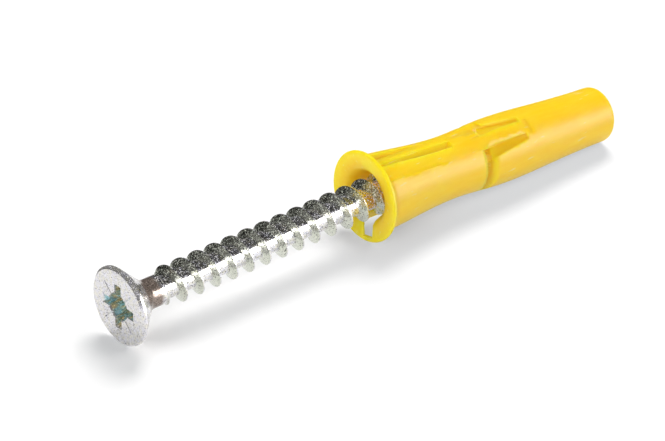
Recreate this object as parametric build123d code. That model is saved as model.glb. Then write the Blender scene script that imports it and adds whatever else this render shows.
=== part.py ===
from build123d import *
import os
from math import asin, atan2, ceil, cos, hypot, radians, sin, tan

# A wall anchor and its screw, lying on a surface with the screw's tip started in the anchor's mouth.
# Millimetres. +X runs from the screw's head to the anchor's far end, +Z is up, and the origin is at
# the bottom centre of the box round both pieces.

# Anchor sleeve, in stations along its own axis from the face of its collar
COLLAR_R = 5.75
COLLAR_T = 0.5
COLLAR_EDGE = 0.2
SLEEVE_L = 38.0
ROOT_FLARE_R = 4.85
FLARE_R, FLARE_AT = 4.62, 3.8
NECK_R, NECK_AT = 4.15, 8.3
WAIST_R, WAIST_AT = 3.9, 14.0
SWELL_R, SWELL_AT = 4.16, 19.0
TAPER_R, TAPER_AT = 3.87, 28.0
END_R = 3.5
END_ROUND = 1.0

# Mouth and bore
LIP_R = 5.3
LIP_DISH = 0.3
THROAT_R = 3.2
THROAT_ROUND = 0.4
BORE_R = 2.8
BORE_AT = 1.7
BORE_END = 9.0
PILOT_R = 1.2
PILOT_AT = 16.0

# Angles go round the sleeve's axis from its top towards -Y. The sleeve has two like sides, so the
# tongues, cross cuts, tapering slots and pockets come again half a turn on.
SIDES = (0.0, 180.0)
TONGUE_FROM, TONGUE_TO = 18.0, 45.5
TONGUE_DROP = 0.03
TONGUE_END = 24.3
RELIEF_FROM = -14.0
RELIEF_R = 4.05
RELIEF_END = 12.7

# Straight slots behind the collar. The upper one deepens along its run, until it opens the bore.
# The lower one is open all the way, and opens the collar's lip too.
SLOT_END = 12.7
UPPER_SLOT_ANGLE = 13.0
UPPER_SLOT_W = 1.1
UPPER_SLOT_FLOOR_R, UPPER_SLOT_END_FLOOR_R = 3.9, 1.4
LOWER_SLOT_ANGLE = 168.0
LOWER_SLOT_W = 1.9
RIM_LEFT = 0.6

# Cross cut past the waist, tapering recesses along each tongue, and a pocket beside one recess
CUT_FROM, CUT_TO = 47.0, 150.0
CUT_AT = 16.3
CUT_W = 1.3
CUT_DEPTH = 1.0
LEG_END = 23.3
LEG_WIDE_ANGLE = 22.0
LEG_LAP_ANGLE = 1.0
LEG_NARROW_ANGLE = 10.0
LEG_DEPTH = 0.45
POCKET_AT = 13.4
POCKET_END = 18.4
POCKET_W = 2.6
POCKET_DEPTH = 0.3

# Screw, in stations along its own axis from the face of its head
SCREW_L = 50.0
HEAD_R = 5.0
HEAD_CHAMFER = 0.3
HEAD_LAND = 0.25
HEAD_HALF_ANGLE = 45.0
NECK_FILLET = 1.6
SHANK_R = 1.85
SHANK_END = 6.0
CORE_R = 1.5
TIP_L = 6.4
TIP_R = 0.2

# Thread
PITCH = 2.5
THREAD_R = 2.5
THREAD_START = 5.2
THREAD_FULL = 7.5
THREAD_PHASE = 15.2
ROOT_W = 1.6
CREST_W = 0.5
ROOT_SINK = 0.3
ROOT_R = 0.35

# Cross recess, type Z
RECESS_DEPTH = 2.9
WING_REACH, WING_FLOOR_REACH = 2.9, 1.0
WING_W, WING_FLOOR_W = 1.2, 0.9
STAR_REACH, STAR_FLOOR_REACH = 1.75, 0.85
STAR_W, STAR_FLOOR_W = 1.4, 1.0
STAR_DEPTH = 2.5
TICK_FROM, TICK_TO = 1.6, 3.5
TICK_W = 0.18
TICK_DEPTH = 0.14

# How the two lie: how far the tip reaches past the collar's face, and where the thread rests
INSERTION = 13.0
SEAT_AT = 2.0
SEAT_GAP = 0.08

# Cutting tools reach this far past what they cut, and curves are searched this finely
OUTSIDE = COLLAR_R + 2.0
PAST = 1.0
FINE = 1e-6


def turned(points, start=0.0, stop=360.0):
    """A solid turned about Z from a closed outline of (radius, station) points."""
    outline = Plane.XZ * make_face(Polyline(*points, close=True))
    return Rot(0, 0, start) * revolve(outline, Axis.Z, revolution_arc=stop - start)


def radius_on(line, station):
    """The radius at which an outline curve passes a station, found by halving."""
    low, high = 0.0, 1.0
    while high - low > FINE:
        middle = (low + high) / 2
        if (line @ middle).Y < station:
            low = middle
        else:
            high = middle
    return (line @ low).X


def body_line():
    """The sleeve's outer line behind the collar, as one smooth curve."""
    return Spline(
        (ROOT_FLARE_R, COLLAR_T),
        (FLARE_R, FLARE_AT),
        (NECK_R, NECK_AT),
        (WAIST_R, WAIST_AT),
        (SWELL_R, SWELL_AT),
        (TAPER_R, TAPER_AT),
        (END_R, SLEEVE_L - END_ROUND),
    )


def sleeve_blank():
    """The outer form: a thin collar, and a body that flares, waists, swells, tapers and rounds off."""
    collar = turned([(0, 0), (COLLAR_R, 0), (COLLAR_R, COLLAR_T), (0, COLLAR_T)])
    collar = fillet(collar.edges().filter_by(GeomType.CIRCLE).group_by(SortBy.RADIUS)[-1], COLLAR_EDGE)
    line = body_line()
    flat = (END_R - END_ROUND, SLEEVE_L)
    rounding = RadiusArc(line @ 1, flat, -END_ROUND)
    inner = Polyline(flat, (0, SLEEVE_L), (0, COLLAR_EDGE), (ROOT_FLARE_R, COLLAR_EDGE), line @ 0)
    return collar + revolve(Plane.XZ * make_face([line, rounding, inner]), Axis.Z)


def bore():
    """The hollow: a dished lip, a rounded throat, a straight bore, a cone and a pilot hole."""
    return turned([
        (0, -PAST),
        (LIP_R, -PAST),
        (LIP_R, 0),
        (THROAT_R + THROAT_ROUND, LIP_DISH),
        (THROAT_R, LIP_DISH + THROAT_ROUND),
        (BORE_R, BORE_AT),
        (BORE_R, BORE_END),
        (PILOT_R, PILOT_AT),
        (PILOT_R, SLEEVE_L + PAST),
        (0, SLEEVE_L + PAST),
    ])


def relief():
    """What is taken off between the two flared panels, down to a straight cylinder."""
    return turned(
        [(RELIEF_R, COLLAR_T), (OUTSIDE, COLLAR_T), (OUTSIDE, RELIEF_END), (RELIEF_R, RELIEF_END)],
        RELIEF_FROM,
        TONGUE_FROM,
    )


def tongue_step():
    """What is taken off a tongue to leave it flat across, a little lower than the panel beside it."""
    half = radians(TONGUE_TO - TONGUE_FROM) / 2
    line = body_line()
    stations = (COLLAR_T, FLARE_AT, NECK_AT, WAIST_AT, SWELL_AT, TONGUE_END)
    flat = Spline(*[(radius_on(line, at) * cos(half) - TONGUE_DROP, at) for at in stations])
    under = Polyline(flat @ 1, (0, TONGUE_END), (0, COLLAR_T), flat @ 0)
    tongue = extrude(Plane.XZ * make_face([flat, under]), OUTSIDE, both=True)
    inside = RELIEF_R * cos(half)
    sector = turned([(inside, COLLAR_T), (OUTSIDE, COLLAR_T), (OUTSIDE, TONGUE_END), (inside, TONGUE_END)],
                    TONGUE_FROM, TONGUE_TO)
    return sector - Rot(0, 0, (TONGUE_FROM + TONGUE_TO) / 2) * tongue


def slot_between(angle, width, points):
    """A straight slot as wide as width, from (radius, station) points in a plane through the axis."""
    outline = Plane.XZ * make_face(Polyline(*points, close=True))
    return Rot(0, 0, angle) * extrude(outline, width / 2, both=True)


def upper_slot():
    """The slot whose floor falls from under the collar to the hollow."""
    return slot_between(UPPER_SLOT_ANGLE, UPPER_SLOT_W, [
        (UPPER_SLOT_FLOOR_R, COLLAR_T),
        (OUTSIDE, COLLAR_T),
        (OUTSIDE, SLOT_END),
        (UPPER_SLOT_END_FLOOR_R, SLOT_END),
    ])


def lower_slot():
    """The slot through the wall, and through the collar's lip as far as its rim."""
    return slot_between(LOWER_SLOT_ANGLE, LOWER_SLOT_W, [
        (0, -PAST),
        (COLLAR_R - RIM_LEFT, -PAST),
        (COLLAR_R - RIM_LEFT, COLLAR_T),
        (OUTSIDE, COLLAR_T),
        (OUTSIDE, SLOT_END),
        (0, SLOT_END),
    ])


def facing(angle):
    """A plane through the axis at an angle, with x round the sleeve, y along it and z outwards."""
    a = radians(angle)
    return Plane(origin=(0, 0, 0), x_dir=(-sin(a), cos(a), 0), z_dir=(cos(a), sin(a), 0))


def cut_through(plane, points, floor_r):
    """A straight-sided cut from a floor outwards, from (round, along) points on a facing plane."""
    outline = plane.offset(floor_r) * make_face(Polyline(*points, close=True))
    return extrude(outline, OUTSIDE, dir=plane.z_dir)


def cross_cut():
    """A groove part of the way round, past the waist, that parts the tongue's root from the body."""
    floor_r = SWELL_R - CUT_DEPTH
    return turned(
        [(floor_r, CUT_AT), (OUTSIDE, CUT_AT), (OUTSIDE, CUT_AT + CUT_W), (floor_r, CUT_AT + CUT_W)],
        CUT_FROM,
        CUT_TO,
    )


def leg(tongue_edge, side):
    """A recess that tapers along a tongue's edge. Side is 1 past the tongue and -1 before it."""
    half = SWELL_R * sin(radians(LEG_WIDE_ANGLE / 2))
    narrow = SWELL_R * sin(radians(LEG_NARROW_ANGLE - LEG_WIDE_ANGLE / 2))
    begin = CUT_AT + CUT_W / 2
    shoulder = CUT_AT + CUT_W
    points = [(-half, begin), (half, begin), (half, shoulder), (narrow, LEG_END), (-half, LEG_END)]
    points = [(side * x, y) for x, y in points]
    middle = tongue_edge + side * (LEG_WIDE_ANGLE / 2 - LEG_LAP_ANGLE)
    return cut_through(facing(middle), points, SWELL_R - LEG_DEPTH)


def pocket():
    """A shallow wedge that leads into the recess before a tongue."""
    near = SWELL_R * sin(radians(TONGUE_FROM))
    far = near - POCKET_W
    points = [(near, POCKET_END), (0, POCKET_AT), (far, POCKET_AT), (far, POCKET_END)]
    return cut_through(facing(0), points, SWELL_R - POCKET_DEPTH)


def make_sleeve():
    """The moulded sleeve, standing on its collar's face with its axis on Z."""
    cuts = [upper_slot(), lower_slot()]
    shared = [relief(), tongue_step(), cross_cut(), leg(TONGUE_TO, 1), leg(TONGUE_FROM, -1), pocket()]
    for side in SIDES:
        cuts += [Rot(0, 0, side) * cut for cut in shared]
    return sleeve_blank() - bore() - cuts


def screw_blank():
    """The turned form under the thread: countersunk head, filleted neck, shank, core and tip."""
    cone_from = HEAD_CHAMFER + HEAD_LAND
    cone_to = cone_from + (HEAD_R - SHANK_R) / tan(radians(HEAD_HALF_ANGLE))
    outline = make_face(Polyline(
        (0, 0),
        (HEAD_R - HEAD_CHAMFER, 0),
        (HEAD_R, HEAD_CHAMFER),
        (HEAD_R, cone_from),
        (SHANK_R, cone_to),
        (SHANK_R, SHANK_END),
        (CORE_R, SHANK_END + SHANK_R - CORE_R),
        (CORE_R, SCREW_L - TIP_L),
        (TIP_R, SCREW_L),
        (0, SCREW_L),
        close=True,
    ))
    neck = outline.vertices().sort_by_distance((SHANK_R, cone_to))[0]
    return revolve(Plane.XZ * fillet(neck, NECK_FILLET), Axis.Z)


def thread_section():
    """The ridge's section: a flat crest, two flanks, and a root that is sunk in the core."""
    slope = (ROOT_W - CREST_W) / 2 / (THREAD_R - CORE_R)
    sunk_r = CORE_R - ROOT_SINK
    half = ROOT_W / 2 + slope * ROOT_SINK
    return Plane.XZ * make_face(Polyline(
        (sunk_r, -half),
        (THREAD_R, -CREST_W / 2),
        (THREAD_R, CREST_W / 2),
        (sunk_r, half),
        (ROOT_R, half),
        (ROOT_R, -half),
        close=True,
    ))


def thread():
    """The turns of one helical ridge, trimmed to run out at the shank and at the tip."""
    clear_r = THREAD_R + PAST
    rise = (THREAD_FULL - THREAD_START) / (THREAD_R - CORE_R)
    fall = (TIP_L - TIP_R) / (THREAD_R - TIP_R)
    envelope = turned([
        (0, THREAD_START),
        (CORE_R, THREAD_START),
        (clear_r, THREAD_START + rise * (clear_r - CORE_R)),
        (clear_r, SCREW_L - TIP_L - fall * (clear_r - THREAD_R)),
        (TIP_R, SCREW_L - TIP_R),
        (0, SCREW_L - TIP_R),
    ])
    turn = Rot(0, 0, THREAD_PHASE) * sweep(thread_section(), Helix(PITCH, PITCH, CORE_R), is_frenet=True)
    first = THREAD_START - PITCH
    turns = []
    for number in range(ceil((SCREW_L - first) / PITCH)):
        trimmed = Pos(0, 0, first + number * PITCH) * turn & envelope
        if trimmed is not None:
            turns += trimmed.solids()
    return turns


def tapered_cross(reach, width, depth, floor_reach, floor_width, turn):
    """Two crossed bars that narrow from the head's face to a flat floor."""
    bars = None
    for angle in (turn, turn + 90):
        face = Rot(0, 0, angle) * Rectangle(2 * reach, width)
        floor = Pos(0, 0, depth) * Rot(0, 0, angle) * Rectangle(2 * floor_reach, floor_width)
        bar = loft([face, floor])
        bars = bar if bars is None else bars + bar
    return bars


def recess():
    """Cross recess, type Z: four wings, a smaller cross between them and four ticks on the face."""
    cut = tapered_cross(WING_REACH, WING_W, RECESS_DEPTH, WING_FLOOR_REACH, WING_FLOOR_W, 0)
    cut += tapered_cross(STAR_REACH, STAR_W, STAR_DEPTH, STAR_FLOOR_REACH, STAR_FLOOR_W, 45)
    tick = Pos((TICK_FROM + TICK_TO) / 2, 0, 0) * Box(TICK_TO - TICK_FROM, TICK_W, 2 * TICK_DEPTH)
    for angle in range(45, 360, 90):
        cut += Rot(0, 0, angle) * tick
    return cut


def make_screw():
    """The screw with its head's face on Z = 0 and its tip up."""
    return (screw_blank() - recess()).fuse(*thread())


def sleeve_place():
    """The sleeve on its collar's rim and its rounded end, as a plane at its collar's face."""
    span = SLEEVE_L - END_ROUND - COLLAR_EDGE
    fall = COLLAR_R - COLLAR_EDGE - (END_R - END_ROUND)
    rounds = COLLAR_EDGE - END_ROUND
    tilt = asin(rounds / hypot(span, fall)) + atan2(fall, span)
    height = (COLLAR_R - COLLAR_EDGE) * cos(tilt) + COLLAR_EDGE + COLLAR_EDGE * sin(tilt)
    return Plane(
        origin=(0, 0, height),
        x_dir=(sin(tilt), 0, cos(tilt)),
        z_dir=(cos(tilt), 0, -sin(tilt)),
    )


def screw_place(sleeve):
    """The screw on its head's rim and on the bore's floor, as a plane at its head's face."""
    drop = BORE_R - THREAD_R - SEAT_GAP
    seat = sleeve.origin + sleeve.z_dir * SEAT_AT - sleeve.x_dir * drop
    length = SCREW_L - INSERTION + SEAT_AT - HEAD_CHAMFER
    tilt = asin(seat.Z / hypot(HEAD_R, length)) - atan2(HEAD_R, length)
    along = Vector(cos(tilt), 0, sin(tilt))
    return Plane(
        origin=seat - along * (length + HEAD_CHAMFER),
        x_dir=(-sin(tilt), 0, cos(tilt)),
        z_dir=along,
    )


def main():
    """Build both pieces, lay them together over the origin and write one file for each."""
    place = sleeve_place()
    pieces = {
        "anchor_sleeve": place.location * make_sleeve(),
        "screw": screw_place(place).location * make_screw(),
    }
    whole = Compound(list(pieces.values())).bounding_box()
    centre = whole.center()
    os.makedirs("parts", exist_ok=True)
    for name, piece in pieces.items():
        export_step(Pos(-centre.X, -centre.Y, -whole.min.Z) * piece, f"parts/{name}.step")


if __name__ == "__main__":
    main()
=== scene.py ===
"""A wall anchor and its screw, dressed for the camera in moulded yellow plastic and zinc-plated steel.

Lengths are named in millimetres and turned to metres where a mesh, a pattern or a lamp takes them.
"""

import logging
import math
from dataclasses import dataclass
from enum import Enum

import bmesh
import bpy
from mathutils import Matrix, Vector


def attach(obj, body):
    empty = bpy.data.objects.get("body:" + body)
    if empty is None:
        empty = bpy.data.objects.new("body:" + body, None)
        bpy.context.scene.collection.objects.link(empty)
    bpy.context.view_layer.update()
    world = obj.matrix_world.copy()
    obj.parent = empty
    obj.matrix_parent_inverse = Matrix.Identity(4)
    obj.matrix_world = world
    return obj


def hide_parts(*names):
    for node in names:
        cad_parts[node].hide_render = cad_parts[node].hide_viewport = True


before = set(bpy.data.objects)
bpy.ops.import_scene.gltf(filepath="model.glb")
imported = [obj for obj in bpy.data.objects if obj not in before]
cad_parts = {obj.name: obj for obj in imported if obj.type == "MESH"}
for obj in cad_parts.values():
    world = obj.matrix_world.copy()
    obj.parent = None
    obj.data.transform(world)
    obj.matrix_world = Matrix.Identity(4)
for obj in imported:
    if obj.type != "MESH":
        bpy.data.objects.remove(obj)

MM = 0.001
PHOTO_WIDTH_PX = 665
SENSOR_MM = 36.0
WHITE = (1.0, 1.0, 1.0, 1.0)

# A piece's angles are counted from its top towards this side.
SIDE = Vector((0.0, -1.0, 0.0))

# A point this near a cutting plane, in metres, counts as on it.
ON_PLANE = 1e-6

# The sRGB curve: straight up to the split, and a power past it.
SRGB_SPLIT = 0.04045
SRGB_FOOT = 12.92
SRGB_OFFSET = 0.055
SRGB_POWER = 2.4

# The Mix node's sockets by number, because its float and colour sockets share their names.
FACTOR = 0
FLOAT_A = 2
FLOAT_B = 3
COLOUR_A = 6
COLOUR_B = 7
COLOUR_OUT = 2

log = logging.getLogger("wall_anchor")


def linear(tone: str) -> tuple[float, float, float, float]:
    """Turns an sRGB hex colour into the linear colour that a shader takes.

    Args:
        tone: the colour as "#RRGGBB".

    Returns:
        Red, green, blue and an alpha of 1.
    """
    channels = [int(tone[i:i + 2], 16) / 255 for i in (1, 3, 5)]
    red, green, blue = (
        c / SRGB_FOOT if c <= SRGB_SPLIT else ((c + SRGB_OFFSET) / (1 + SRGB_OFFSET)) ** SRGB_POWER
        for c in channels)
    return red, green, blue, 1.0


def per_mm(size_mm: float) -> float:
    """Gives the scale of a pattern on Object coordinates.

    Args:
        size_mm: the width of the pattern's features.

    Returns:
        The scale for a texture node.
    """
    return 1.0 / (size_mm * MM)


def add_node(tree: bpy.types.NodeTree, kind: str, settings: dict | None = None,
             links: dict | None = None) -> bpy.types.Node:
    """Adds a node with its settings and its incoming links.

    Args:
        tree: the node tree that it goes into.
        kind: the node's type, such as "ShaderNodeBump".
        settings: values by property name, by input name or by input number.
        links: output sockets by input name or input number.

    Returns:
        The new node.
    """
    node = tree.nodes.new(kind)
    for name, value in (settings or {}).items():
        if isinstance(name, int) or name in node.inputs:
            node.inputs[name].default_value = value
        else:
            setattr(node, name, value)
    for name, socket in (links or {}).items():
        tree.links.new(socket, node.inputs[name])
    return node


def blank_material(name: str) -> tuple[bpy.types.Material, bpy.types.NodeTree]:
    """Makes a material with an empty node tree.

    Args:
        name: the material's name.

    Returns:
        The material and its tree.
    """
    material = bpy.data.materials.new(name)
    material.use_nodes = True
    material.node_tree.nodes.clear()
    return material, material.node_tree


def mottle(tree: bpy.types.NodeTree, place: bpy.types.NodeSocket, size_mm: float, detail: float,
           stops: tuple[float, float], tones: tuple[str, str]) -> bpy.types.NodeSocket:
    """Mixes two tones in soft patches.

    Past the second stop the ramp runs on to white, so the noise's few peaks come out as pale flecks.

    Args:
        tree: the material's node tree.
        place: the point, in Object coordinates.
        size_mm: the size of a patch.
        detail: how many finer layers the patches have.
        stops: where on the noise each tone is pure, from 0 to 1.
        tones: the colours in order.

    Returns:
        The mixed colour.
    """
    patch = add_node(tree, "ShaderNodeTexNoise", {"Scale": per_mm(size_mm), "Detail": detail},
                     {"Vector": place})
    ramp = add_node(tree, "ShaderNodeValToRGB", None, {"Fac": patch.outputs["Fac"]})
    elements = ramp.color_ramp.elements
    elements.new(stops[1])
    for index, (stop, tone) in enumerate(zip(stops, tones)):
        elements[index].position = stop
        elements[index].color = linear(tone)
    return ramp.outputs["Color"]


def seen_directly(tree: bpy.types.NodeTree) -> bpy.types.NodeSocket:
    """Tells the rays that see a backdrop, by eye, in a gloss or through glass, from those that only light.

    Args:
        tree: the backdrop's node tree.

    Returns:
        A socket that is 1 for a ray that sees, and 0 for one that lights.
    """
    path = add_node(tree, "ShaderNodeLightPath")
    seen = path.outputs["Is Camera Ray"]
    for name in ("Is Glossy Ray", "Is Transmission Ray"):
        seen = add_node(tree, "ShaderNodeMath", {"operation": "MAXIMUM"},
                        {0: seen, 1: path.outputs[name]}).outputs[0]
    return seen


def new_mesh(name: str, shape: bmesh.types.BMesh) -> bpy.types.Mesh:
    """Writes a bmesh to a new mesh and frees it.

    Args:
        name: the mesh's name.
        shape: the bmesh.

    Returns:
        The mesh.
    """
    mesh = bpy.data.meshes.new(name)
    shape.to_mesh(mesh)
    shape.free()
    return mesh


def add_object(name: str, data: bpy.types.ID) -> bpy.types.Object:
    """Puts a mesh, a lamp or a camera into the scene.

    Args:
        name: the object's name.
        data: what it shows.

    Returns:
        The object.
    """
    thing = bpy.data.objects.new(name, data)
    bpy.context.scene.collection.objects.link(thing)
    return thing


@dataclass(frozen=True)
class MouldedNylon:
    """Yellow nylon, injection moulded: a satin skin, saturated in its slots and paler where light grazes it.

    Args:
        name: the material's name.
        warm_tone: the warmer tone of the flow marks.
        pale_tone: their paler tone.
        flow_stops: where on the noise each tone is pure.
        flow_mm: the width of a flow mark.
        flow_stretch: how many times longer than that it is, along the piece.
        flow_detail: how many finer layers the marks have.
        roughness: the satin skin's roughness.
        specular: how strong the gloss is, where 0.5 is what the ior alone gives.
        ior: the index of refraction, typical for nylon.
        skin_mm: the width of the skin's unevenness.
        skin_depth_mm: its depth.
        skin_detail: how many finer layers it has.
        glow_weight: the share of the light that spreads below the skin.
        glow_mm: how far red, green and blue spread.
    """

    name: str = "moulded_yellow_nylon"
    warm_tone: str = "#FBCB21"
    pale_tone: str = "#FCD02F"
    flow_stops: tuple[float, float] = (0.34, 0.68)
    flow_mm: float = 0.5
    flow_stretch: float = 6.0
    flow_detail: float = 2.0
    roughness: float = 0.42
    specular: float = 0.3
    ior: float = 1.53
    skin_mm: float = 0.35
    skin_depth_mm: float = 0.006
    skin_detail: float = 3.0
    glow_weight: float = 1.0
    glow_mm: tuple[float, float, float] = (2.2, 1.8, 0.25)

    def material(self) -> bpy.types.Material:
        """Builds the material.

        Returns:
            The material, in Object coordinates.
        """
        material, tree = blank_material(self.name)
        place = add_node(tree, "ShaderNodeTexCoord").outputs["Object"]
        drawn = add_node(tree, "ShaderNodeMapping", {"Scale": (1.0 / self.flow_stretch, 1.0, 1.0)},
                         {"Vector": place})
        colour = mottle(tree, drawn.outputs["Vector"], self.flow_mm, self.flow_detail, self.flow_stops,
                        (self.warm_tone, self.pale_tone))
        skin = add_node(tree, "ShaderNodeTexNoise",
                        {"Scale": per_mm(self.skin_mm), "Detail": self.skin_detail}, {"Vector": place})
        bump = add_node(tree, "ShaderNodeBump", {"Distance": self.skin_depth_mm * MM},
                        {"Height": skin.outputs["Fac"]})
        shader = add_node(tree, "ShaderNodeBsdfPrincipled",
                          {"Roughness": self.roughness, "IOR": self.ior, "Specular IOR Level": self.specular,
                           "Subsurface Weight": self.glow_weight, "Subsurface Scale": MM,
                           "Subsurface Radius": self.glow_mm},
                          {"Base Color": colour, "Normal": bump.outputs["Normal"]})
        add_node(tree, "ShaderNodeOutputMaterial", None, {"Surface": shader.outputs["BSDF"]})
        return material


@dataclass(frozen=True)
class ZincPlate:
    """Steel, cold headed and thread rolled, then bright zinc plated: a speckled mirror, teal in its recess.

    Args:
        name: the material's name.
        straw_tone: the plating's warmer tint.
        lilac_tone: its cooler tint.
        flank_reflection_tone: painted reflection on the thread's flanks that face the head, the grey-green
            that they mirror.
        neck_reflection_tone: painted dark reflection on the plain neck, the dark brown that it mirrors.
        gold_tone: the recess's warmer tint.
        teal_tone: its cooler tint.
        tint_mm: the width of a patch of tint.
        tint_detail: how many finer layers the patches have.
        tint_stops: where on the noise each tint is pure.
        roughness: the plating's roughness.
        speck_mm: the plating's grain of dark pits and matt crystals, drawn coarser than it is, to show.
        speck_detail: how many finer layers the grain has.
        speck_depth_mm: the grain's depth.
        speck_dark: the share of light that a pit gives back.
        pit_span: a pit lies where the grain's noise is under the first number, and ends at the second.
        crystal_span: a crystal starts where the noise is over the first number, and is full at the second.
        head_face: the middle of the head's face, in mm.
        into_head: the screw's axis, from its head to its tip.
        recess_mm: the recess lies inside a cone of this radius at the head's face.
        recess_taper: the cone's radius falls by this for each mm of depth.
        recess_edge_mm: the recess's finish fades in over this, inwards from the cone.
        recess_span_mm: it also fades in between these depths.
        recess_metal: how metallic the recess looks, less than the rest because light is scattered in it.
        drag_stretch: the punch's drag marks are this much longer along the axis than they are wide.
        face_calm: the grain's share that the head's flat face keeps.
        face_shade: the share of light that the tumbled head's face gives back.
        face_metal: how metallic the face and its rim look.
        face_span_mm: the face's calm and shade fade out between these depths.
        rim_fade_mm: its metal fades out over this, past those depths.
        neck_from_mm: the plain neck starts this far behind the face.
        thread_from_mm: the thread starts this far behind the face.
        neck_fade_mm: the neck's finish fades out over this at both ends.
        neck_metal: how metallic the neck looks, dull from the die that held it.
        flank_span: the dot of a flank's normal with the axis, where the flank's painted reflection starts and
            is full.
    """

    name: str = "zinc_plated_steel"
    straw_tone: str = "#EEEBE2"
    lilac_tone: str = "#E9E8F1"
    # Painted reflections: grey-green on the flanks that face the head, dark brown on the neck.
    flank_reflection_tone: str = "#D3D6C9"
    neck_reflection_tone: str = "#94857B"
    gold_tone: str = "#EBD9A8"
    teal_tone: str = "#9CD0DA"
    tint_mm: float = 0.5
    tint_detail: float = 1.0
    tint_stops: tuple[float, float] = (0.38, 0.62)
    roughness: float = 0.2
    speck_mm: float = 0.17
    speck_detail: float = 1.0
    speck_depth_mm: float = 0.016
    speck_dark: float = 0.12
    pit_span: tuple[float, float] = (0.33, 0.4)
    crystal_span: tuple[float, float] = (0.58, 0.64)
    head_face: tuple[float, float, float] = (-37.524, 0.0, 5.003)
    into_head: tuple[float, float, float] = (0.99994, 0.0, 0.01061)
    recess_mm: float = 3.35
    recess_taper: float = 0.7
    recess_edge_mm: float = 0.1
    recess_span_mm: tuple[float, float] = (0.05, 0.35)
    recess_metal: float = 0.72
    drag_stretch: float = 9.0
    face_calm: float = 0.75
    face_shade: float = 0.88
    face_metal: float = 0.75
    face_span_mm: tuple[float, float] = (0.05, 0.6)
    rim_fade_mm: float = 0.1
    neck_from_mm: float = 2.7
    thread_from_mm: float = 5.0
    neck_fade_mm: float = 0.6
    neck_metal: float = 0.62
    flank_span: tuple[float, float] = (-0.5, -0.8)

    def depth_and_radius(self, tree: bpy.types.NodeTree,
                         place: bpy.types.NodeSocket) -> tuple[bpy.types.NodeSocket, bpy.types.NodeSocket]:
        """Works out how deep a point lies behind the head's face, and how far from the axis.

        Args:
            tree: the material's node tree.
            place: the point, in Object coordinates.

        Returns:
            Both lengths, in metres.
        """
        face = [c * MM for c in self.head_face]
        offset = add_node(tree, "ShaderNodeVectorMath", {"operation": "SUBTRACT", 1: face},
                          {0: place}).outputs["Vector"]
        depth = add_node(tree, "ShaderNodeVectorMath", {"operation": "DOT_PRODUCT", 1: self.into_head},
                         {0: offset}).outputs["Value"]
        along = add_node(tree, "ShaderNodeVectorMath", {"operation": "SCALE", 0: self.into_head},
                         {"Scale": depth})
        across = add_node(tree, "ShaderNodeVectorMath", {"operation": "SUBTRACT"},
                          {0: offset, 1: along.outputs["Vector"]})
        radius = add_node(tree, "ShaderNodeVectorMath", {"operation": "LENGTH"},
                          {0: across.outputs["Vector"]}).outputs["Value"]
        return depth, radius

    def in_recess(self, tree: bpy.types.NodeTree, depth: bpy.types.NodeSocket,
                  radius: bpy.types.NodeSocket) -> bpy.types.NodeSocket:
        """Tells the recess's walls from the rest of the screw.

        Args:
            tree: the material's node tree.
            depth: metres behind the head's face.
            radius: metres from the axis.

        Returns:
            A socket that is 1 in the recess and 0 elsewhere.
        """
        shallow, full = self.recess_span_mm
        cone = add_node(tree, "ShaderNodeMath", {"operation": "MULTIPLY_ADD", 1: self.recess_taper},
                        {0: depth, 2: radius})
        inside = add_node(tree, "ShaderNodeMapRange",
                          {"From Min": self.recess_mm * MM,
                           "From Max": (self.recess_mm - self.recess_edge_mm) * MM},
                          {"Value": cone.outputs[0]})
        below = add_node(tree, "ShaderNodeMapRange", {"From Min": shallow * MM, "From Max": full * MM},
                         {"Value": depth})
        return add_node(tree, "ShaderNodeMath", {"operation": "MULTIPLY"},
                        {0: inside.outputs["Result"], 1: below.outputs["Result"]}).outputs[0]

    def on_flank(self, tree: bpy.types.NodeTree, depth: bpy.types.NodeSocket) -> bpy.types.NodeSocket:
        """Tells the thread's flanks that face the head from the rest of the screw, for the painted reflection
        on them.

        Args:
            tree: the material's node tree.
            depth: metres behind the head's face.

        Returns:
            A socket that is 1 on such a flank and 0 elsewhere.
        """
        start, full = self.flank_span
        normal = add_node(tree, "ShaderNodeTexCoord").outputs["Normal"]
        facing = add_node(tree, "ShaderNodeVectorMath", {"operation": "DOT_PRODUCT", 1: self.into_head},
                          {0: normal}).outputs["Value"]
        flank = add_node(tree, "ShaderNodeMapRange", {"From Min": start, "From Max": full}, {"Value": facing})
        past = add_node(tree, "ShaderNodeMath", {"operation": "GREATER_THAN", 1: self.thread_from_mm * MM},
                        {0: depth})
        return add_node(tree, "ShaderNodeMath", {"operation": "MULTIPLY"},
                        {0: flank.outputs["Result"], 1: past.outputs[0]}).outputs[0]

    def on_neck(self, tree: bpy.types.NodeTree, depth: bpy.types.NodeSocket) -> bpy.types.NodeSocket:
        """Tells the plain neck, between the head's cone and the thread, from the rest of the screw.

        Args:
            tree: the material's node tree.
            depth: metres behind the head's face.

        Returns:
            A socket that is 1 on the neck and 0 elsewhere.
        """
        start = add_node(tree, "ShaderNodeMapRange",
                         {"From Min": (self.neck_from_mm - self.neck_fade_mm) * MM,
                          "From Max": self.neck_from_mm * MM}, {"Value": depth})
        end = add_node(tree, "ShaderNodeMapRange",
                       {"From Min": (self.thread_from_mm + self.neck_fade_mm) * MM,
                        "From Max": self.thread_from_mm * MM}, {"Value": depth})
        return add_node(tree, "ShaderNodeMath", {"operation": "MULTIPLY"},
                        {0: start.outputs["Result"], 1: end.outputs["Result"]}).outputs[0]

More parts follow.
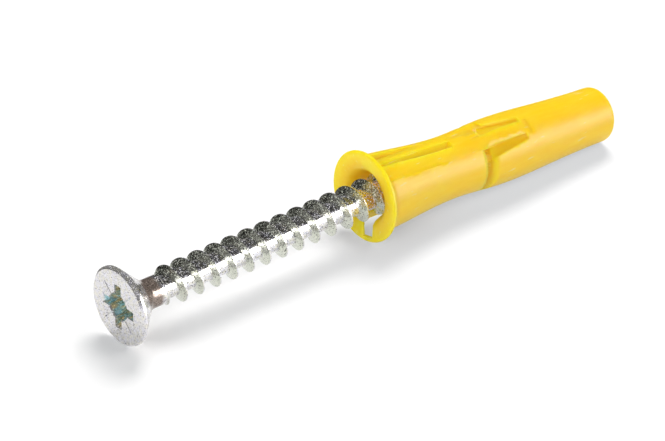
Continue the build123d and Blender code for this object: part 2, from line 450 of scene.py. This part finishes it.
    def grain(self, tree: bpy.types.NodeTree, speck: bpy.types.NodeSocket, rough_part: bpy.types.NodeSocket,
              span: tuple[float, float], values: tuple[float, float]) -> bpy.types.NodeSocket:
        """Works out a value that the grain's pits or crystals change, less so on the calm face.

        Args:
            tree: the material's node tree.
            speck: the grain's noise.
            rough_part: the grain's share at this depth.
            span: where on the noise the value changes.
            values: the value under the span and over it.

        Returns:
            The value.
        """
        under, over = values
        spot = add_node(tree, "ShaderNodeMapRange",
                        {"From Min": span[0], "From Max": span[1], "To Min": under, "To Max": over},
                        {"Value": speck})
        return add_node(tree, "ShaderNodeMix", {"data_type": "FLOAT", FLOAT_A: 1.0},
                        {FACTOR: rough_part, FLOAT_B: spot.outputs["Result"]}).outputs[0]

    def colour(self, tree: bpy.types.NodeTree, place: bpy.types.NodeSocket, depth: bpy.types.NodeSocket,
               recess: bpy.types.NodeSocket, neck: bpy.types.NodeSocket,
               pitted: bpy.types.NodeSocket) -> bpy.types.NodeSocket:
        """Works out the plating's colour, with painted reflections on the neck and on the flanks that face
        the head.

        Args:
            tree: the material's node tree.
            place: the point, in Object coordinates.
            depth: metres behind the head's face.
            recess: 1 in the recess.
            neck: 1 on the neck.
            pitted: the share of light that the pits leave.

        Returns:
            The colour.
        """
        plain = mottle(tree, place, self.tint_mm, self.tint_detail, self.tint_stops,
                       (self.straw_tone, self.lilac_tone))
        drawn = add_node(tree, "ShaderNodeMapping", {"Scale": (1.0 / self.drag_stretch, 1.0, 1.0)},
                         {"Vector": place}).outputs["Vector"]
        deep = mottle(tree, drawn, self.tint_mm, self.tint_detail, self.tint_stops,
                      (self.gold_tone, self.teal_tone))
        tinted = add_node(tree, "ShaderNodeMix", {"data_type": "RGBA"},
                          {FACTOR: recess, COLOUR_A: plain, COLOUR_B: deep}).outputs[COLOUR_OUT]
        # Paints reflections into the colour: dark brown on the neck, grey-green on the flanks that face the
        # head.
        for mask, tone in ((neck, self.neck_reflection_tone), (self.on_flank(tree, depth), self.flank_reflection_tone)):
            tinted = add_node(tree, "ShaderNodeMix", {"data_type": "RGBA", COLOUR_B: linear(tone)},
                              {FACTOR: mask, COLOUR_A: tinted}).outputs[COLOUR_OUT]
        top, foot = self.face_span_mm
        face = add_node(tree, "ShaderNodeMapRange",
                        {"From Min": top * MM, "From Max": foot * MM, "To Min": self.face_shade,
                         "To Max": 1.0}, {"Value": depth}).outputs["Result"]
        shade = add_node(tree, "ShaderNodeMath", {"operation": "MULTIPLY"}, {0: pitted, 1: face}).outputs[0]
        return add_node(tree, "ShaderNodeMix", {"data_type": "RGBA", "blend_type": "MULTIPLY", FACTOR: 1.0},
                        {COLOUR_A: tinted, COLOUR_B: shade}).outputs[COLOUR_OUT]

    def metallic(self, tree: bpy.types.NodeTree, depth: bpy.types.NodeSocket, recess: bpy.types.NodeSocket,
                 neck: bpy.types.NodeSocket, grains: tuple[bpy.types.NodeSocket, bpy.types.NodeSocket],
                 ) -> bpy.types.NodeSocket:
        """Works out how metallic the plating looks: pits, crystals, face, neck and recess look less so.

        Args:
            tree: the material's node tree.
            depth: metres behind the head's face.
            recess: 1 in the recess.
            neck: 1 on the neck.
            grains: what the crystals leave and what the pits leave.

        Returns:
            The value, from 0 to 1.
        """
        foot = self.face_span_mm[1]
        crystals, pitted = grains
        hollow = add_node(tree, "ShaderNodeMapRange", {"To Min": 1.0, "To Max": self.recess_metal},
                          {"Value": recess}).outputs["Result"]
        rim = add_node(tree, "ShaderNodeMapRange",
                       {"From Min": foot * MM, "From Max": (foot + self.rim_fade_mm) * MM,
                        "To Min": self.face_metal, "To Max": 1.0}, {"Value": depth}).outputs["Result"]
        dull = add_node(tree, "ShaderNodeMapRange", {"To Min": 1.0, "To Max": self.neck_metal},
                        {"Value": neck}).outputs["Result"]
        value = crystals
        for part in (hollow, rim, dull, pitted):
            value = add_node(tree, "ShaderNodeMath", {"operation": "MULTIPLY"},
                             {0: value, 1: part}).outputs[0]
        return value

    def material(self) -> bpy.types.Material:
        """Builds the material.

        Returns:
            The material, in Object coordinates.
        """
        material, tree = blank_material(self.name)
        place = add_node(tree, "ShaderNodeTexCoord").outputs["Object"]
        depth, radius = self.depth_and_radius(tree, place)
        recess = self.in_recess(tree, depth, radius)
        neck = self.on_neck(tree, depth)
        speck = add_node(tree, "ShaderNodeTexNoise",
                         {"Scale": per_mm(self.speck_mm), "Detail": self.speck_detail},
                         {"Vector": place}).outputs["Fac"]
        top, foot = self.face_span_mm
        rough_part = add_node(tree, "ShaderNodeMapRange",
                              {"From Min": top * MM, "From Max": foot * MM, "To Min": self.face_calm,
                               "To Max": 1.0}, {"Value": depth}).outputs["Result"]
        pitted = self.grain(tree, speck, rough_part, self.pit_span, (self.speck_dark, 1.0))
        crystals = self.grain(tree, speck, rough_part, self.crystal_span, (1.0, 0.0))
        bump = add_node(tree, "ShaderNodeBump", {"Distance": self.speck_depth_mm * MM},
                        {"Height": speck, "Strength": rough_part})
        shader = add_node(tree, "ShaderNodeBsdfPrincipled", {"Roughness": self.roughness},
                          {"Base Color": self.colour(tree, place, depth, recess, neck, pitted),
                           "Normal": bump.outputs["Normal"],
                           "Metallic": self.metallic(tree, depth, recess, neck, (crystals, pitted))})
        add_node(tree, "ShaderNodeOutputMaterial", None, {"Surface": shader.outputs["BSDF"]})
        return material


@dataclass
class DressedPiece:
    """A piece whose form is its CAD node's, with its facets joined and its edges eased.

    Args:
        node: the CAD node, and with _dressed the new piece.
        body: the body that it rides on.
        slot: the record's material slot.
        edge_mm: the width of the eased edge, or 0 for a piece on which a bevel would leave slivers.
        origin: where the piece's axis starts, in mm.
        along: the axis.
        top: across the axis, upwards. Angles go from here towards -Y.
        glows: light leaks through its walls, so it throws no colour and its hollows stay bright.
        sharp_deg: an edge that turns by more stays sharp, and is eased if the piece has eased edges.
        segments: the facets across an eased edge.
        join_mm: the loose facets' corners are joined where they are nearer than this.
    """

    node: str
    body: str
    slot: str
    edge_mm: float
    origin: tuple[float, float, float]
    along: tuple[float, float, float]
    top: tuple[float, float, float]
    glows: bool = False
    sharp_deg: float = 28.0
    segments: int = 2
    join_mm: float = 0.0005

    def point(self, across_mm: float, up_mm: float, station_mm: float) -> Vector:
        """Places a point given on the piece's own axis.

        Args:
            across_mm: millimetres towards -Y.
            up_mm: millimetres upwards, across the axis.
            station_mm: millimetres along the axis.

        Returns:
            The point in the frame, in metres.
        """
        return (Vector(self.origin) + Vector(self.along) * station_mm + Vector(self.top) * up_mm
                + SIDE * across_mm) * MM

    def refine(self, shape: bmesh.types.BMesh) -> None:
        """Changes the joined mesh before it is finished. Most pieces need nothing here.

        Args:
            shape: the mesh.
        """

    def cut(self, piece: bpy.types.Object) -> None:
        """Cuts the finished mesh. Most pieces need nothing here.

        Args:
            piece: the new piece.
        """

    def ease(self, piece: bpy.types.Object) -> None:
        """Eases the sharp edges.

        Args:
            piece: the new piece.
        """
        bevel = piece.modifiers.new("eased_edges", "BEVEL")
        bevel.width = self.edge_mm * MM
        bevel.segments = self.segments
        bevel.limit_method = "ANGLE"
        bevel.angle_limit = math.radians(self.sharp_deg)
        bevel.harden_normals = True

    def build(self) -> bpy.types.Object:
        """Copies the node's mesh, joins its loose facets and finishes it.

        Returns:
            The new piece, which stands for the node.
        """
        shape = bmesh.new()
        shape.from_mesh(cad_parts[self.node].data)
        bmesh.ops.remove_doubles(shape, verts=shape.verts, dist=self.join_mm * MM)
        self.refine(shape)
        name = f"{self.node}_dressed"
        piece = add_object(name, new_mesh(name, shape))
        self.cut(piece)
        piece.data.shade_smooth()
        piece.data.set_sharp_from_angle(angle=math.radians(self.sharp_deg))
        if self.edge_mm:
            self.ease(piece)
        piece.visible_diffuse = not self.glows
        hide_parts(self.node)
        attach(piece, self.body)
        return piece

    def dress(self, piece: bpy.types.Object, material: bpy.types.Material) -> None:
        """Gives the piece its material.

        Args:
            piece: the piece that build made.
            material: its finish.
        """
        piece.data.materials.clear()
        piece.data.materials.append(material)


@dataclass
class AnchorSleeve(DressedPiece):
    """The moulded sleeve, with its lower slot's far wall cut back so that light comes through the mouth.

    Args:
        slot_deg: the lower slot's angle.
        slot_half_mm: half its width.
        bore_mm: the bore's radius.
        cut_back_deg: the far wall leans outwards by this from the slot's own direction.
        cut_from_mm: the station where the cut starts, clear of the collar's back so that no faces coincide.
        cut_to_mm: where it ends.
        reach_mm: the cut reaches this far from the bore.
        overlap_mm: the wedge starts this far inside the slot.
        sliver_mm: points nearer than this are joined after the cut, and the slivers between them closed.
    """

    slot_deg: float = 168.0
    slot_half_mm: float = 0.95
    bore_mm: float = 2.8
    cut_back_deg: float = 47.0
    cut_from_mm: float = 0.56
    cut_to_mm: float = 3.8
    reach_mm: float = 3.2
    overlap_mm: float = 0.3
    sliver_mm: float = 0.0005

    def wedge(self) -> bpy.types.Object:
        """Makes the wedge that is cut off, from the slot's far wall at the bore outwards.

        Returns:
            The wedge.
        """
        at_bore = math.radians(self.slot_deg) + math.asin(self.slot_half_mm / self.bore_mm)
        near = (self.bore_mm * math.sin(at_bore), self.bore_mm * math.cos(at_bore))
        straight, leaning = (
            (near[0] + self.reach_mm * math.sin(math.radians(degrees)),
             near[1] + self.reach_mm * math.cos(math.radians(degrees)))
            for degrees in (self.slot_deg, self.slot_deg + self.cut_back_deg))
        corners = (near, (near[0] + self.overlap_mm, near[1]),
                   (straight[0] + self.overlap_mm, straight[1]), leaning)
        shape = bmesh.new()
        end = shape.faces.new([shape.verts.new(self.point(*corner, self.cut_from_mm)) for corner in corners])
        pulled = bmesh.ops.extrude_face_region(shape, geom=[end])["geom"]
        run = Vector(self.along) * (self.cut_to_mm - self.cut_from_mm) * MM
        bmesh.ops.translate(shape, verts=[v for v in pulled if isinstance(v, bmesh.types.BMVert)], vec=run)
        bmesh.ops.recalc_face_normals(shape, faces=shape.faces)
        return add_object("slot_wedge", new_mesh("slot_wedge", shape))

    def cut(self, piece: bpy.types.Object) -> None:
        """Cuts the wedge off the lower slot's far wall, and closes the slivers that the cut leaves.

        Args:
            piece: the new piece.
        """
        cutter = self.wedge()
        subtract = piece.modifiers.new("slot_wedge", "BOOLEAN")
        subtract.operation = "DIFFERENCE"
        subtract.solver = "EXACT"
        subtract.object = cutter
        depsgraph = bpy.context.evaluated_depsgraph_get()
        whole = piece.data
        piece.data = bpy.data.meshes.new_from_object(piece.evaluated_get(depsgraph))
        piece.modifiers.remove(subtract)
        # An object goes with its mesh, so the second line takes the wedge out of the scene.
        bpy.data.meshes.remove(whole)
        bpy.data.meshes.remove(cutter.data)
        shape = bmesh.new()
        shape.from_mesh(piece.data)
        bmesh.ops.remove_doubles(shape, verts=shape.verts, dist=self.sliver_mm * MM)
        bmesh.ops.dissolve_degenerate(shape, edges=shape.edges, dist=self.sliver_mm * MM)
        bmesh.ops.triangulate(shape, faces=shape.faces)
        shape.to_mesh(piece.data)
        shape.free()


@dataclass
class Screw(DressedPiece):
    """The screw, with its thread's ridge drawn in to the thin one that a rolled thread has.

    Args:
        pitch_mm: the thread's pitch.
        crest_at_mm: a station where a crest passes the top.
        core_mm: the core's radius.
        crest_mm: the crest's radius.
        full_root_mm: half the ridge's width at the core, as the node has it.
        full_crest_mm: half its width at the crest, as the node has it.
        thin_root_mm: half the width that the ridge gets at the core.
        thin_crest_mm: half the width that it gets at the crest.
        sunk_mm: the ridge's root lies this far inside the core, and widens no more below.
        from_mm: the station where the thread starts.
    """

    pitch_mm: float = 2.5
    crest_at_mm: float = 7.594
    core_mm: float = 1.5
    crest_mm: float = 2.5
    full_root_mm: float = 0.8
    full_crest_mm: float = 0.25
    thin_root_mm: float = 0.44
    thin_crest_mm: float = 0.08
    sunk_mm: float = 0.3
    from_mm: float = 5.0

    def half_width(self, radius: float, root_mm: float, crest_mm: float) -> float:
        """Gives half the ridge's width at a radius.

        Args:
            radius: the radius, in mm.
            root_mm: half the width at the core.
            crest_mm: half the width at the crest.

        Returns:
            Half the width, in mm.
        """
        share = (max(radius, self.core_mm - self.sunk_mm) - self.core_mm) / (self.crest_mm - self.core_mm)
        return root_mm + (crest_mm - root_mm) * share

    def refine(self, shape: bmesh.types.BMesh) -> None:
        """Draws every point of the thread along the axis, towards its crest, and spreads the root between.

        Args:
            shape: the mesh.
        """
        along, top = Vector(self.along), Vector(self.top)
        middle = self.pitch_mm / 2
        for vertex in shape.verts:
            offset = vertex.co / MM - Vector(self.origin)
            station = offset.dot(along)
            if station < self.from_mm:
                continue
            across = offset - along * station
            turn = math.atan2(across.dot(SIDE), across.dot(top)) / math.tau
            ahead = (station - self.crest_at_mm - turn * self.pitch_mm + middle) % self.pitch_mm - middle
            full = self.half_width(across.length, self.full_root_mm, self.full_crest_mm)
            thin = self.half_width(across.length, self.thin_root_mm, self.thin_crest_mm)
            off = abs(ahead)
            if off < full:
                moved = off * thin / full
            else:
                moved = thin + (off - full) * (middle - thin) / (middle - full)
            vertex.co += along * (math.copysign(moved, ahead) - ahead) * MM


@dataclass(frozen=True)
class SoftBox:
    """A soft box that faces the piece.

    Args:
        direction: from the piece to the box.
        away_mm: how far off it hangs.
        width_mm: its width.
        height_mm: its height.
        watts: its power.
        gloss_only: only reflections see it. Every other box is hidden from them.
    """

    direction: tuple[float, float, float]
    away_mm: float
    width_mm: float
    height_mm: float
    watts: float
    gloss_only: bool = False


class Lamp(Enum):
    """The soft boxes by name."""

    OVERHEAD = SoftBox((0.45, 0.40, 0.80), 700.0, 380.0, 380.0, 3.3)
    FRONT_HIGH = SoftBox((0.45, -0.62, 0.64), 700.0, 400.0, 300.0, 1.0)
    FRONT_LEFT = SoftBox((-0.80, -0.45, 0.40), 900.0, 500.0, 400.0, 2.9)
    BACK_LEFT = SoftBox((-0.75, 0.50, 0.35), 900.0, 700.0, 500.0, 1.0)
    STRIP = SoftBox((0.56, -0.80, 0.22), 700.0, 640.0, 420.0, 8.5, gloss_only=True)


@dataclass
class Studio:
    """The floor, the lamps, what only gloss sees, and the camera of the photograph.

    Args:
        floor_mm: the floor's width.
        floor_tone: its card's colour.
        floor_light: how much light reaches it under the lamps. Its own glow makes up the rest to white.
        pool_near_mm: the lamps' light starts to fall off this far out.
        pool_far_mm: from here on, only the sky lights the floor.
        sky_strength: the room's soft light.
        tent_mm: the tent's radius.
        tent_lift_mm: its hem hangs this high over the floor.
        tent_sides: the facets round the tent and from its foot to its top, as on a whole ball.
        tent_dark: the light of the tent and the flag, over and behind the piece.
        tent_pale: the light of the tent on the camera's side.
        tent_pale_at: the tent is pale up to this share of its radius along X.
        tent_dark_at: it is dark from this share on.
        flag_length_mm: the dark card's length.
        flag_height_mm: its height.
        flag_behind_mm: how far it stands behind the piece.
        flag_left_mm: how far its middle is shifted towards the screw's head.
        camera_mm: the camera's place.
        azimuth_deg: its turn round the upright.
        elevation_deg: how steeply it looks down.
        roll_deg: its turn round its own view.
        focal_px: its focal length, in the photograph's pixels.
        clip_mm: the nearest and the farthest that it sees.
    """

    floor_mm: float = 6000.0
    floor_tone: str = "#F4F2F0"
    floor_light: float = 1.0
    pool_near_mm: float = 100.0
    pool_far_mm: float = 900.0
    sky_strength: float = 0.36
    tent_mm: float = 1500.0
    tent_lift_mm: float = 30.0
    tent_sides: tuple[int, int] = (48, 24)
    tent_dark: float = 0.024
    tent_pale: float = 0.05
    tent_pale_at: float = -0.9
    tent_dark_at: float = 0.1
    flag_length_mm: float = 300.0
    flag_height_mm: float = 90.0
    flag_behind_mm: float = 20.0
    flag_left_mm: float = 60.0
    camera_mm: tuple[float, float, float] = (-337.02, -399.30, 324.31)
    azimuth_deg: float = -39.717
    elevation_deg: float = 31.652
    roll_deg: float = 0.397
    focal_px: float = 5111.4
    clip_mm: tuple[float, float] = (10.0, 20000.0)

    def floor(self) -> None:
        """Lays a floor that eyes and gloss see as white, and that keeps the shadow."""
        shape = bmesh.new()
        bmesh.ops.create_grid(shape, x_segments=1, y_segments=1, size=self.floor_mm / 2 * MM)
        board = add_object("floor", new_mesh("floor", shape))
        material, tree = blank_material("white_card")
        card = add_node(tree, "ShaderNodeBsdfDiffuse", {"Color": linear(self.floor_tone)})
        place = add_node(tree, "ShaderNodeTexCoord").outputs["Object"]
        away = add_node(tree, "ShaderNodeVectorMath", {"operation": "LENGTH"}, {0: place}).outputs["Value"]
        light = add_node(tree, "ShaderNodeMapRange",
                         {"From Min": self.pool_near_mm * MM, "From Max": self.pool_far_mm * MM,
                          "To Min": self.floor_light, "To Max": self.sky_strength}, {"Value": away})
        darker = [-channel for channel in linear(self.floor_tone)[:3]]
        lift = add_node(tree, "ShaderNodeVectorMath", {"operation": "MULTIPLY_ADD", 1: darker, 2: WHITE[:3]},
                        {0: light.outputs["Result"]})
        glow = add_node(tree, "ShaderNodeEmission", None,
                        {"Color": lift.outputs["Vector"], "Strength": seen_directly(tree)})
        both = add_node(tree, "ShaderNodeAddShader", None,
                        {0: card.outputs["BSDF"], 1: glow.outputs["Emission"]})
        add_node(tree, "ShaderNodeOutputMaterial", None, {"Surface": both.outputs["Shader"]})
        board.data.materials.append(material)

    def gloss_only(self, name: str, mesh: bpy.types.Mesh) -> bpy.types.Object:
        """Puts up something that only reflections see.

        Args:
            name: its name.
            mesh: its form.

        Returns:
            The object, marked as stage.
        """
        cloth = add_object(name, mesh)
        cloth.visible_camera = False
        cloth.visible_diffuse = False
        cloth.visible_transmission = False
        cloth.visible_shadow = False
        return cloth

    def tent(self) -> None:
        """Hangs a dark tent over the table that only reflections see, paler on the camera's side."""
        round_it, upwards = self.tent_sides
        shape = bmesh.new()
        bmesh.ops.create_uvsphere(shape, u_segments=round_it, v_segments=upwards, radius=self.tent_mm * MM)
        bmesh.ops.bisect_plane(shape, geom=[*shape.verts, *shape.edges, *shape.faces], dist=ON_PLANE,
                               plane_co=(0, 0, self.tent_lift_mm * MM), plane_no=(0, 0, -1),
                               clear_outer=True)
        bmesh.ops.reverse_faces(shape, faces=shape.faces)
        mesh = new_mesh("tent", shape)
        mesh.shade_smooth()
        cloth = self.gloss_only("tent", mesh)
        material, tree = blank_material("dark_cloth")
        place = add_node(tree, "ShaderNodeTexCoord").outputs["Object"]
        split = add_node(tree, "ShaderNodeSeparateXYZ", None, {"Vector": place})
        side = add_node(tree, "ShaderNodeMapRange",
                        {"From Min": self.tent_pale_at * self.tent_mm * MM,
                         "From Max": self.tent_dark_at * self.tent_mm * MM,
                         "To Min": self.tent_pale, "To Max": self.tent_dark,
                         "interpolation_type": "SMOOTHSTEP"},
                        {"Value": split.outputs["X"]})
        glow = add_node(tree, "ShaderNodeEmission", None, {"Strength": side.outputs["Result"]})
        add_node(tree, "ShaderNodeOutputMaterial", None, {"Surface": glow.outputs["Emission"]})
        cloth.data.materials.append(material)

    def flag(self) -> None:
        """Stands a dark card close behind the piece, which darkens what faces up and back in the thread."""
        shape = bmesh.new()
        bmesh.ops.create_grid(shape, x_segments=1, y_segments=1, size=0.5)
        bmesh.ops.scale(shape, verts=shape.verts,
                        vec=(self.flag_length_mm * MM, self.flag_height_mm * MM, 1.0))
        bmesh.ops.rotate(shape, verts=shape.verts, matrix=Matrix.Rotation(math.radians(90), 3, "X"))
        bmesh.ops.translate(shape, verts=shape.verts, vec=Vector(
            (-self.flag_left_mm, self.flag_behind_mm, self.flag_height_mm / 2)) * MM)
        material, tree = blank_material("dark_card")
        glow = add_node(tree, "ShaderNodeEmission", {"Strength": self.tent_dark})
        add_node(tree, "ShaderNodeOutputMaterial", None, {"Surface": glow.outputs["Emission"]})
        self.gloss_only("flag", new_mesh("flag", shape)).data.materials.append(material)

    def sky(self) -> None:
        """Fills the room with soft light, behind which camera, gloss and glass see plain white."""
        world = bpy.data.worlds.new("room")
        bpy.context.scene.world = world
        world.use_nodes = True
        tree = world.node_tree
        tree.nodes.clear()
        strength = add_node(tree, "ShaderNodeMapRange", {"To Min": self.sky_strength, "To Max": 1.0},
                            {"Value": seen_directly(tree)})
        back = add_node(tree, "ShaderNodeBackground", {"Color": WHITE},
                        {"Strength": strength.outputs["Result"]})
        add_node(tree, "ShaderNodeOutputWorld", None, {"Surface": back.outputs["Background"]})

    def lamps(self) -> None:
        """Hangs the soft boxes, each facing the piece."""
        for lamp in Lamp:
            plan = lamp.value
            data = bpy.data.lights.new(lamp.name.lower(), "AREA")
            data.shape = "RECTANGLE"
            data.size = plan.width_mm * MM
            data.size_y = plan.height_mm * MM
            data.energy = plan.watts
            box = add_object(lamp.name.lower(), data)
            outwards = Vector(plan.direction).normalized()
            box.location = outwards * plan.away_mm * MM
            box.rotation_mode = "QUATERNION"
            box.rotation_quaternion = outwards.to_track_quat("Z", "Y")
            box.visible_camera = False
            box.visible_glossy = plan.gloss_only
            box.visible_diffuse = not plan.gloss_only

    def camera(self) -> None:
        """Sets up the photograph's viewpoint and lens."""
        data = bpy.data.cameras.new("camera")
        data.sensor_fit = "HORIZONTAL"
        data.sensor_width = SENSOR_MM
        data.lens = self.focal_px * SENSOR_MM / PHOTO_WIDTH_PX
        data.clip_start, data.clip_end = (limit * MM for limit in self.clip_mm)
        azimuth, elevation, roll = (
            math.radians(angle) for angle in (self.azimuth_deg, self.elevation_deg, self.roll_deg))
        forward = Vector((-math.sin(azimuth) * math.cos(elevation), math.cos(azimuth) * math.cos(elevation),
                          -math.sin(elevation)))
        level = forward.cross(Vector((0, 0, 1))).normalized()
        upright = level.cross(forward)
        right = level * math.cos(roll) + upright * math.sin(roll)
        up = upright * math.cos(roll) - level * math.sin(roll)
        eye = add_object("camera", data)
        turn = Matrix((right, up, -forward)).transposed().to_4x4()
        eye.matrix_world = Matrix.Translation(Vector(self.camera_mm) * MM) @ turn
        bpy.context.scene.camera = eye

    def build(self) -> None:
        """Sets up everything round the piece."""
        self.camera()
        self.floor()
        self.tent()
        self.flag()
        self.sky()
        self.lamps()
        bpy.context.scene.view_settings.view_transform = "Standard"


def main() -> None:
    """Dresses both pieces, builds the studio and notes each piece's faces before its modifiers."""
    logging.basicConfig(level=logging.INFO, format="%(name)s: %(message)s")
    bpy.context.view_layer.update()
    Studio().build()
    finishes = {"yellow_plastic": MouldedNylon().material(), "zinc_plated_steel": ZincPlate().material()}
    pieces = [
        AnchorSleeve("anchor_sleeve", "sleeve", "yellow_plastic", edge_mm=0.0,
                     origin=(-0.50939, 0.0, 5.75797), along=(0.99814, 0.0, -0.06099),
                     top=(0.06099, 0.0, 0.99814), glows=True),
        Screw("screw", "screw", "zinc_plated_steel", edge_mm=0.04, origin=(-37.52434, 0.0, 5.00263),
              along=(0.99994, 0.0, 0.01061), top=(-0.01061, 0.0, 0.99994)),
    ]
    for plan in pieces:
        piece = plan.build()
        plan.dress(piece, finishes[plan.slot])
        log.info("%s: %d faces before its modifiers", piece.name, len(piece.data.polygons))


if __name__ == "__main__":
    main()
